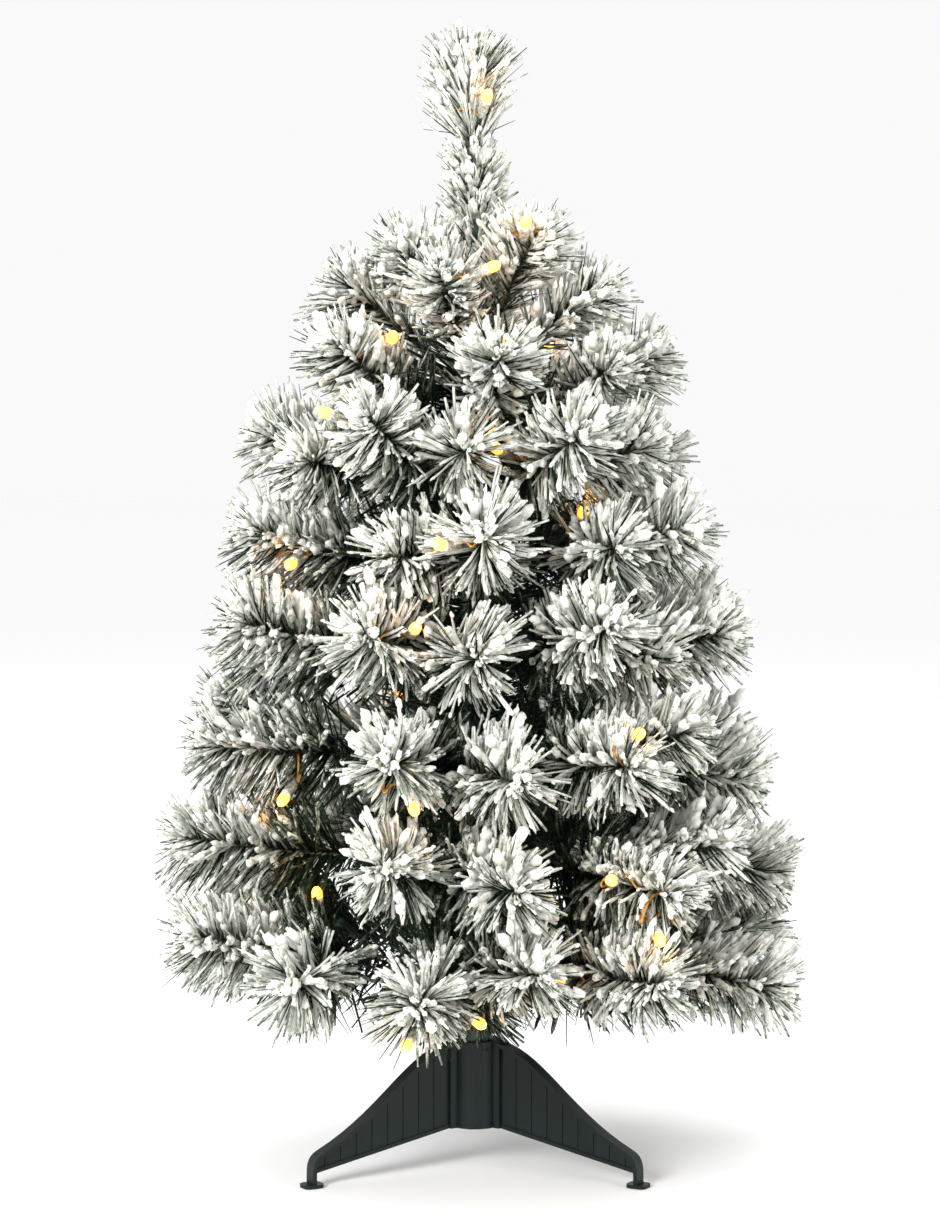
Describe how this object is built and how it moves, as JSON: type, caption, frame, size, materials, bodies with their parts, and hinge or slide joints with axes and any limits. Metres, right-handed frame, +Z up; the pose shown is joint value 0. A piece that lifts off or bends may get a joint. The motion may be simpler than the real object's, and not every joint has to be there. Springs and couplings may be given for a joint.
{
  "type": "tabletop artificial tree",
  "caption": "Small flocked artificial tree with hinged brush branches, warm lamps among the needles and a moulded plastic stand of interlocking legs.",
  "frame": {"origin": "on the surface the stand rests on, under the middle of the trunk", "axes": "+Z up the trunk; -Y is the front, between the two front legs; +X is to the right seen from the front"},
  "size_m": [0.307, 0.3262, 0.59],
  "materials": {
    "stand_plastic": "dark green-black moulded plastic, satin",
    "pole_paint": "dark green painted steel tube",
    "wrap_film": "wound green plastic film",
    "flocked_brush": "green film needles under white flock",
    "lamp_plastic": "warm white moulded lamp, lit"
  },
  "bodies": {
    "stand": {"stand_leg_1": "stand_plastic", "stand_leg_2": "stand_plastic", "stand_leg_3": "stand_plastic"},
    "tree": {"pole": "pole_paint", "trunk_wrap": "wrap_film"},
    "leader": {"leader": "flocked_brush", "lamp_1": "lamp_plastic"},
    "branch_1_1": {"branch_1_1": "flocked_brush", "lamp_8": "lamp_plastic"},
    "branch_1_2": {"branch_1_2": "flocked_brush"},
    "branch_1_3": {"branch_1_3": "flocked_brush"},
    "branch_1_4": {"branch_1_4": "flocked_brush"},
    "branch_1_5": {"branch_1_5": "flocked_brush"},
    "branch_1_6": {"branch_1_6": "flocked_brush"},
    "branch_1_7": {"branch_1_7": "flocked_brush"},
    "branch_2_1": {"branch_2_1": "flocked_brush"},
    "branch_2_2": {"branch_2_2": "flocked_brush"},
    "branch_2_3": {"branch_2_3": "flocked_brush"},
    "branch_2_4": {"branch_2_4": "flocked_brush"},
    "branch_2_5": {"branch_2_5": "flocked_brush"},
    "branch_2_6": {"branch_2_6": "flocked_brush"},
    "branch_3_1": {"branch_3_1": "flocked_brush", "lamp_4": "lamp_plastic"},
    "branch_3_2": {"branch_3_2": "flocked_brush", "lamp_7": "lamp_plastic"},
    "branch_3_3": {"branch_3_3": "flocked_brush", "lamp_6": "lamp_plastic"},
    "branch_3_4": {"branch_3_4": "flocked_brush"},
    "branch_3_5": {"branch_3_5": "flocked_brush"},
    "branch_3_6": {"branch_3_6": "flocked_brush"},
    "branch_4_1": {"branch_4_1": "flocked_brush"},
    "branch_4_2": {"branch_4_2": "flocked_brush", "lamp_5": "lamp_plastic"},
    "branch_4_3": {"branch_4_3": "flocked_brush"},
    "branch_4_4": {"branch_4_4": "flocked_brush"},
    "branch_4_5": {"branch_4_5": "flocked_brush"},
    "branch_4_6": {"branch_4_6": "flocked_brush"},
    "branch_5_1": {"branch_5_1": "flocked_brush"},
    "branch_5_2": {"branch_5_2": "flocked_brush"},
    "branch_5_3": {"branch_5_3": "flocked_brush"},
    "branch_5_4": {"branch_5_4": "flocked_brush"},
    "branch_5_5": {"branch_5_5": "flocked_brush"},
    "branch_6_1": {"branch_6_1": "flocked_brush"},
    "branch_6_2": {"branch_6_2": "flocked_brush"},
    "branch_6_3": {"branch_6_3": "flocked_brush"},
    "branch_6_4": {"branch_6_4": "flocked_brush"},
    "branch_6_5": {"branch_6_5": "flocked_brush"},
    "branch_7_1": {"branch_7_1": "flocked_brush", "lamp_3": "lamp_plastic"},
    "branch_7_2": {"branch_7_2": "flocked_brush"},
    "branch_7_3": {"branch_7_3": "flocked_brush"},
    "branch_7_4": {"branch_7_4": "flocked_brush"},
    "branch_7_5": {"branch_7_5": "flocked_brush"},
    "branch_8_1": {"branch_8_1": "flocked_brush"},
    "branch_8_2": {"branch_8_2": "flocked_brush"},
    "branch_8_3": {"branch_8_3": "flocked_brush"},
    "branch_8_4": {"branch_8_4": "flocked_brush"},
    "branch_9_1": {"branch_9_1": "flocked_brush"},
    "branch_9_2": {"branch_9_2": "flocked_brush", "lamp_2": "lamp_plastic"}
  },
  "joints": [
    {"name": "tree_lift", "type": "slide", "parent": "stand", "child": "tree", "axis": [0, 0, 1], "range_m": [0, 0.05]},
    {"name": "leader_bend", "type": "hinge", "parent": "tree", "child": "leader", "pos_m": [0, 0, 0.5328], "axis": [0, 1, 0], "range_deg": [-25, 25]},
    {"name": "branch_1_1_fold", "type": "hinge", "parent": "tree", "child": "branch_1_1", "pos_m": [-0.01103, -0.00689, 0.113], "axis": [-0.5299, 0.848, 0], "range_deg": [-10, 34.95]},
    {"name": "branch_1_2_fold", "type": "hinge", "parent": "tree", "child": "branch_1_2", "pos_m": [-0.00226, -0.0128, 0.113], "axis": [-0.9848, 0.1736, 0], "range_deg": [-10.72, 37.43]},
    {"name": "branch_1_3_fold", "type": "hinge", "parent": "tree", "child": "branch_1_3", "pos_m": [0.00708, -0.0109, 0.113], "axis": [-0.8387, -0.5446, 0], "range_deg": [-10.67, 37.25]},
    {"name": "branch_1_4_fold", "type": "hinge", "parent": "tree", "child": "branch_1_4", "pos_m": [0.01214, -0.00466, 0.113], "axis": [-0.3584, -0.9336, 0], "range_deg": [-11.03, 38.54]},
    {"name": "branch_1_5_fold", "type": "hinge", "parent": "tree", "child": "branch_1_5", "pos_m": [0.01114, 0.0067, 0.113], "axis": [0.515, -0.8572, 0], "range_deg": [-10.56, 36.9]},
    {"name": "branch_1_6_fold", "type": "hinge", "parent": "tree", "child": "branch_1_6", "pos_m": [0.00113, 0.01295, 0.113], "axis": [0.9962, -0.0872, 0], "range_deg": [-10.82, 37.81]},
    {"name": "branch_1_7_fold", "type": "hinge", "parent": "tree", "child": "branch_1_7", "pos_m": [-0.0101, 0.00818, 0.113], "axis": [0.6293, 0.7771, 0], "range_deg": [-10.91, 38.09]},
    {"name": "branch_2_1_fold", "type": "hinge", "parent": "tree", "child": "branch_2_1", "pos_m": [-0.01243, -0.0038, 0.165], "axis": [-0.2924, 0.9563, 0], "range_deg": [-10.82, 37.79]},
    {"name": "branch_2_2_fold", "type": "hinge", "parent": "tree", "child": "branch_2_2", "pos_m": [-0.0038, -0.01243, 0.165], "axis": [-0.9563, 0.2924, 0], "range_deg": [-10.69, 37.32]},
    {"name": "branch_2_3_fold", "type": "hinge", "parent": "tree", "child": "branch_2_3", "pos_m": [0.008, -0.01024, 0.165], "axis": [-0.788, -0.6157, 0], "range_deg": [-10.73, 37.46]},
    {"name": "branch_2_4_fold", "type": "hinge", "parent": "tree", "child": "branch_2_4", "pos_m": [0.01298, -0.00068, 0.165], "axis": [-0.0523, -0.9986, 0], "range_deg": [-11.32, 39.55]},
    {"name": "branch_2_5_fold", "type": "hinge", "parent": "tree", "child": "branch_2_5", "pos_m": [0.00727, 0.01078, 0.165], "axis": [0.829, -0.5592, 0], "range_deg": [-10.93, 38.19]},
    {"name": "branch_2_6_fold", "type": "hinge", "parent": "tree", "child": "branch_2_6", "pos_m": [-0.00529, 0.01188, 0.165], "axis": [0.9135, 0.4067, 0], "range_deg": [-10.61, 37.06]},
    {"name": "branch_3_1_fold", "type": "hinge", "parent": "tree", "child": "branch_3_1", "pos_m": [-0.01222, -0.00445, 0.215], "axis": [-0.342, 0.9397, 0], "range_deg": [-9.18, 32.05]},
    {"name": "branch_3_2_fold", "type": "hinge", "parent": "tree", "child": "branch_3_2", "pos_m": [-0.0038, -0.01243, 0.215], "axis": [-0.9563, 0.2924, 0], "range_deg": [-11.03, 38.52]},
    {"name": "branch_3_3_fold", "type": "hinge", "parent": "tree", "child": "branch_3_3", "pos_m": [0.00689, -0.01103, 0.215], "axis": [-0.848, -0.5299, 0], "range_deg": [-9.94, 34.72]},
    {"name": "branch_3_4_fold", "type": "hinge", "parent": "tree", "child": "branch_3_4", "pos_m": [0.01256, -0.00336, 0.215], "axis": [-0.2588, -0.9659, 0], "range_deg": [-11.6, 40.53]},
    {"name": "branch_3_5_fold", "type": "hinge", "parent": "tree", "child": "branch_3_5", "pos_m": [0.00966, 0.0087, 0.215], "axis": [0.6691, -0.7431, 0], "range_deg": [-10.45, 36.49]},
    {"name": "branch_3_6_fold", "type": "hinge", "parent": "tree", "child": "branch_3_6", "pos_m": [-0.00226, 0.0128, 0.215], "axis": [0.9848, 0.1736, 0], "range_deg": [-10.4, 36.33]},
    {"name": "branch_4_1_fold", "type": "hinge", "parent": "tree", "child": "branch_4_1", "pos_m": [-0.01168, -0.0057, 0.27], "axis": [-0.4384, 0.8988, 0], "range_deg": [-11.19, 39.09]},
    {"name": "branch_4_2_fold", "type": "hinge", "parent": "tree", "child": "branch_4_2", "pos_m": [-0.00529, -0.01188, 0.27], "axis": [-0.9135, 0.4067, 0], "range_deg": [-10.86, 37.94]},
    {"name": "branch_4_3_fold", "type": "hinge", "parent": "tree", "child": "branch_4_3", "pos_m": [0.0065, -0.01126, 0.27], "axis": [-0.866, -0.5, 0], "range_deg": [-10.61, 37.06]},
    {"name": "branch_4_4_fold", "type": "hinge", "parent": "tree", "child": "branch_4_4", "pos_m": [0.01267, -0.00292, 0.27], "axis": [-0.225, -0.9744, 0], "range_deg": [-9.67, 33.77]},
    {"name": "branch_4_5_fold", "type": "hinge", "parent": "tree", "child": "branch_4_5", "pos_m": [0.0061, 0.01148, 0.27], "axis": [0.8829, -0.4695, 0], "range_deg": [-10.78, 37.66]},
    {"name": "branch_4_6_fold", "type": "hinge", "parent": "tree", "child": "branch_4_6", "pos_m": [-0.0057, 0.01168, 0.27], "axis": [0.8988, 0.4384, 0], "range_deg": [-10.88, 37.99]},
    {"name": "branch_5_1_fold", "type": "hinge", "parent": "tree", "child": "branch_5_1", "pos_m": [-0.01236, -0.00402, 0.313], "axis": [-0.309, 0.9511, 0], "range_deg": [-10.54, 36.82]},
    {"name": "branch_5_2_fold", "type": "hinge", "parent": "tree", "child": "branch_5_2", "pos_m": [0.00045, -0.01299, 0.313], "axis": [-0.9994, -0.0349, 0], "range_deg": [-10.52, 36.75]},
    {"name": "branch_5_3_fold", "type": "hinge", "parent": "tree", "child": "branch_5_3", "pos_m": [0.01168, -0.0057, 0.313], "axis": [-0.4384, -0.8988, 0], "range_deg": [-9.91, 34.61]},
    {"name": "branch_5_4_fold", "type": "hinge", "parent": "tree", "child": "branch_5_4", "pos_m": [0.00996, 0.00836, 0.313], "axis": [0.6428, -0.766, 0], "range_deg": [-10.3, 35.96]},
    {"name": "branch_5_5_fold", "type": "hinge", "parent": "tree", "child": "branch_5_5", "pos_m": [-0.00445, 0.01222, 0.313], "axis": [0.9397, 0.342, 0], "range_deg": [-10.38, 36.24]},
    {"name": "branch_6_1_fold", "type": "hinge", "parent": "tree", "child": "branch_6_1", "pos_m": [-0.01297, -0.00091, 0.352], "axis": [-0.0698, 0.9976, 0], "range_deg": [-9.62, 33.59]},
    {"name": "branch_6_2_fold", "type": "hinge", "parent": "tree", "child": "branch_6_2", "pos_m": [-0.0061, -0.01148, 0.352], "axis": [-0.8829, 0.4695, 0], "range_deg": [-8.66, 30.26]},
    {"name": "branch_6_3_fold", "type": "hinge", "parent": "tree", "child": "branch_6_3", "pos_m": [0.0061, -0.01148, 0.352], "axis": [-0.8829, -0.4695, 0], "range_deg": [-9.25, 32.3]},
    {"name": "branch_6_4_fold", "type": "hinge", "parent": "tree", "child": "branch_6_4", "pos_m": [0.01205, 0.00487, 0.352], "axis": [0.3746, -0.9272, 0], "range_deg": [-9.37, 32.72]},
    {"name": "branch_6_5_fold", "type": "hinge", "parent": "tree", "child": "branch_6_5", "pos_m": [-0.00181, 0.01287, 0.352], "axis": [0.9903, 0.1392, 0], "range_deg": [-9.12, 31.86]},
    {"name": "branch_7_1_fold", "type": "hinge", "parent": "tree", "child": "branch_7_1", "pos_m": [-0.00996, -0.00836, 0.385], "axis": [-0.6428, 0.766, 0], "range_deg": [-7.14, 24.93]},
    {"name": "branch_7_2_fold", "type": "hinge", "parent": "tree", "child": "branch_7_2", "pos_m": [0.00181, -0.01287, 0.385], "axis": [-0.9903, -0.1392, 0], "range_deg": [-8.08, 28.2]},
    {"name": "branch_7_3_fold", "type": "hinge", "parent": "tree", "child": "branch_7_3", "pos_m": [0.01293, -0.00136, 0.385], "axis": [-0.1045, -0.9945, 0], "range_deg": [-8.16, 28.51]},
    {"name": "branch_7_4_fold", "type": "hinge", "parent": "tree", "child": "branch_7_4", "pos_m": [0.0061, 0.01148, 0.385], "axis": [0.8829, -0.4695, 0], "range_deg": [-9.42, 32.91]},
    {"name": "branch_7_5_fold", "type": "hinge", "parent": "tree", "child": "branch_7_5", "pos_m": [-0.0087, 0.00966, 0.385], "axis": [0.7431, 0.6691, 0], "range_deg": [-7.44, 25.99]},
    {"name": "branch_8_1_fold", "type": "hinge", "parent": "tree", "child": "branch_8_1", "pos_m": [-0.01222, -0.00445, 0.413], "axis": [-0.342, 0.9397, 0], "range_deg": [-5.92, 20.65]},
    {"name": "branch_8_2_fold", "type": "hinge", "parent": "tree", "child": "branch_8_2", "pos_m": [-0.00314, -0.01261, 0.413], "axis": [-0.9703, 0.2419, 0], "range_deg": [-5.62, 19.61]},
    {"name": "branch_8_3_fold", "type": "hinge", "parent": "tree", "child": "branch_8_3", "pos_m": [0.01148, -0.0061, 0.413], "axis": [-0.4695, -0.8829, 0], "range_deg": [-6.54, 22.85]},
    {"name": "branch_8_4_fold", "type": "hinge", "parent": "tree", "child": "branch_8_4", "pos_m": [0.00091, 0.01297, 0.413], "axis": [0.9976, -0.0698, 0], "range_deg": [-6.22, 21.73]},
    {"name": "branch_9_1_fold", "type": "hinge", "parent": "tree", "child": "branch_9_1", "pos_m": [-0.00996, -0.00836, 0.437], "axis": [-0.6428, 0.766, 0], "range_deg": [-5.41, 18.88]},
    {"name": "branch_9_2_fold", "type": "hinge", "parent": "tree", "child": "branch_9_2", "pos_m": [0.00836, -0.00996, 0.437], "axis": [-0.766, -0.6428, 0], "range_deg": [-4.25, 14.83]}
  ],
  "couplings": [
    {"joint": "branch_1_2_fold", "follows": "branch_1_1_fold", "ratio": 1.0707},
    {"joint": "branch_1_3_fold", "follows": "branch_1_1_fold", "ratio": 1.0656},
    {"joint": "branch_1_4_fold", "follows": "branch_1_1_fold", "ratio": 1.1024},
    {"joint": "branch_1_5_fold", "follows": "branch_1_1_fold", "ratio": 1.0554},
    {"joint": "branch_1_6_fold", "follows": "branch_1_1_fold", "ratio": 1.0815},
    {"joint": "branch_1_7_fold", "follows": "branch_1_1_fold", "ratio": 1.0896},
    {"joint": "branch_2_1_fold", "follows": "branch_1_1_fold", "ratio": 1.081},
    {"joint": "branch_2_2_fold", "follows": "branch_1_1_fold", "ratio": 1.0675},
    {"joint": "branch_2_3_fold", "follows": "branch_1_1_fold", "ratio": 1.0716},
    {"joint": "branch_2_4_fold", "follows": "branch_1_1_fold", "ratio": 1.1314},
    {"joint": "branch_2_5_fold", "follows": "branch_1_1_fold", "ratio": 1.0923},
    {"joint": "branch_2_6_fold", "follows": "branch_1_1_fold", "ratio": 1.0602},
    {"joint": "branch_3_1_fold", "follows": "branch_1_1_fold", "ratio": 0.9166},
    {"joint": "branch_3_2_fold", "follows": "branch_1_1_fold", "ratio": 1.102},
    {"joint": "branch_3_3_fold", "follows": "branch_1_1_fold", "ratio": 0.9931},
    {"joint": "branch_3_4_fold", "follows": "branch_1_1_fold", "ratio": 1.1594},
    {"joint": "branch_3_5_fold", "follows": "branch_1_1_fold", "ratio": 1.0437},
    {"joint": "branch_3_6_fold", "follows": "branch_1_1_fold", "ratio": 1.0392},
    {"joint": "branch_4_1_fold", "follows": "branch_1_1_fold", "ratio": 1.1182},
    {"joint": "branch_4_2_fold", "follows": "branch_1_1_fold", "ratio": 1.0853},
    {"joint": "branch_4_3_fold", "follows": "branch_1_1_fold", "ratio": 1.0602},
    {"joint": "branch_4_4_fold", "follows": "branch_1_1_fold", "ratio": 0.9661},
    {"joint": "branch_4_5_fold", "follows": "branch_1_1_fold", "ratio": 1.0772},
    {"joint": "branch_4_6_fold", "follows": "branch_1_1_fold", "ratio": 1.0868},
    {"joint": "branch_5_1_fold", "follows": "branch_1_1_fold", "ratio": 1.0531},
    {"joint": "branch_5_2_fold", "follows": "branch_1_1_fold", "ratio": 1.0512},
    {"joint": "branch_5_3_fold", "follows": "branch_1_1_fold", "ratio": 0.9899},
    {"joint": "branch_5_4_fold", "follows": "branch_1_1_fold", "ratio": 1.0286},
    {"joint": "branch_5_5_fold", "follows": "branch_1_1_fold", "ratio": 1.0367},
    {"joint": "branch_6_1_fold", "follows": "branch_1_1_fold", "ratio": 0.9607},
    {"joint": "branch_6_2_fold", "follows": "branch_1_1_fold", "ratio": 0.8655},
    {"joint": "branch_6_3_fold", "follows": "branch_1_1_fold", "ratio": 0.9239},
    {"joint": "branch_6_4_fold", "follows": "branch_1_1_fold", "ratio": 0.9358},
    {"joint": "branch_6_5_fold", "follows": "branch_1_1_fold", "ratio": 0.9113},
    {"joint": "branch_7_1_fold", "follows": "branch_1_1_fold", "ratio": 0.7129},
    {"joint": "branch_7_2_fold", "follows": "branch_1_1_fold", "ratio": 0.8066},
    {"joint": "branch_7_3_fold", "follows": "branch_1_1_fold", "ratio": 0.8155},
    {"joint": "branch_7_4_fold", "follows": "branch_1_1_fold", "ratio": 0.9412},
    {"joint": "branch_7_5_fold", "follows": "branch_1_1_fold", "ratio": 0.7434},
    {"joint": "branch_8_1_fold", "follows": "branch_1_1_fold", "ratio": 0.5905},
    {"joint": "branch_8_2_fold", "follows": "branch_1_1_fold", "ratio": 0.5607},
    {"joint": "branch_8_3_fold", "follows": "branch_1_1_fold", "ratio": 0.6535},
    {"joint": "branch_8_4_fold", "follows": "branch_1_1_fold", "ratio": 0.6215},
    {"joint": "branch_9_1_fold", "follows": "branch_1_1_fold", "ratio": 0.54},
    {"joint": "branch_9_2_fold", "follows": "branch_1_1_fold", "ratio": 0.4241}
  ]
}
